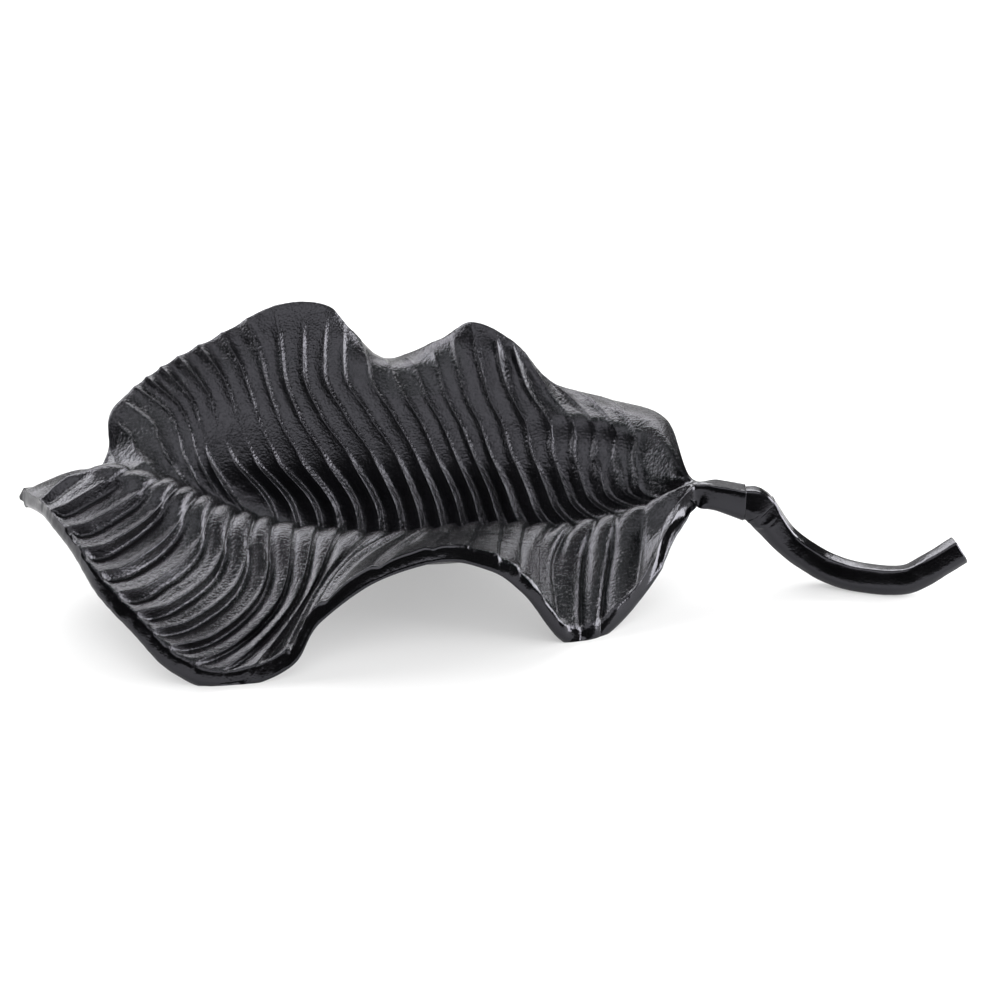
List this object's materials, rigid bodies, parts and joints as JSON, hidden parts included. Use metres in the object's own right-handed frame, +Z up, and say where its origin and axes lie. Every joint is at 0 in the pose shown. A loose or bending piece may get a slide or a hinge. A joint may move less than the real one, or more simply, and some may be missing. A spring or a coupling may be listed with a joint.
{
  "type": "leaf dish",
  "caption": "Low decorative dish cast in the shape of a folded, fluted leaf with a wavy rim, resting on its lobes, its keel and a curved stem.",
  "frame": {"origin": "on the table, below the centre of the whole dish's bounding box", "axes": "+X along the leaf from its tip towards the stem, +Y from the low front wall to the tall back wall, +Z up"},
  "size_m": [0.4274, 0.1864, 0.104],
  "materials": {
    "leaf_coat": "satin",
    "stem_coat": "satin",
    "weld_coat": "satin"
  },
  "bodies": {
    "root": {"leaf_casting": "leaf_coat", "stem": "stem_coat", "stem_weld": "weld_coat"}
  },
  "joints": []
}
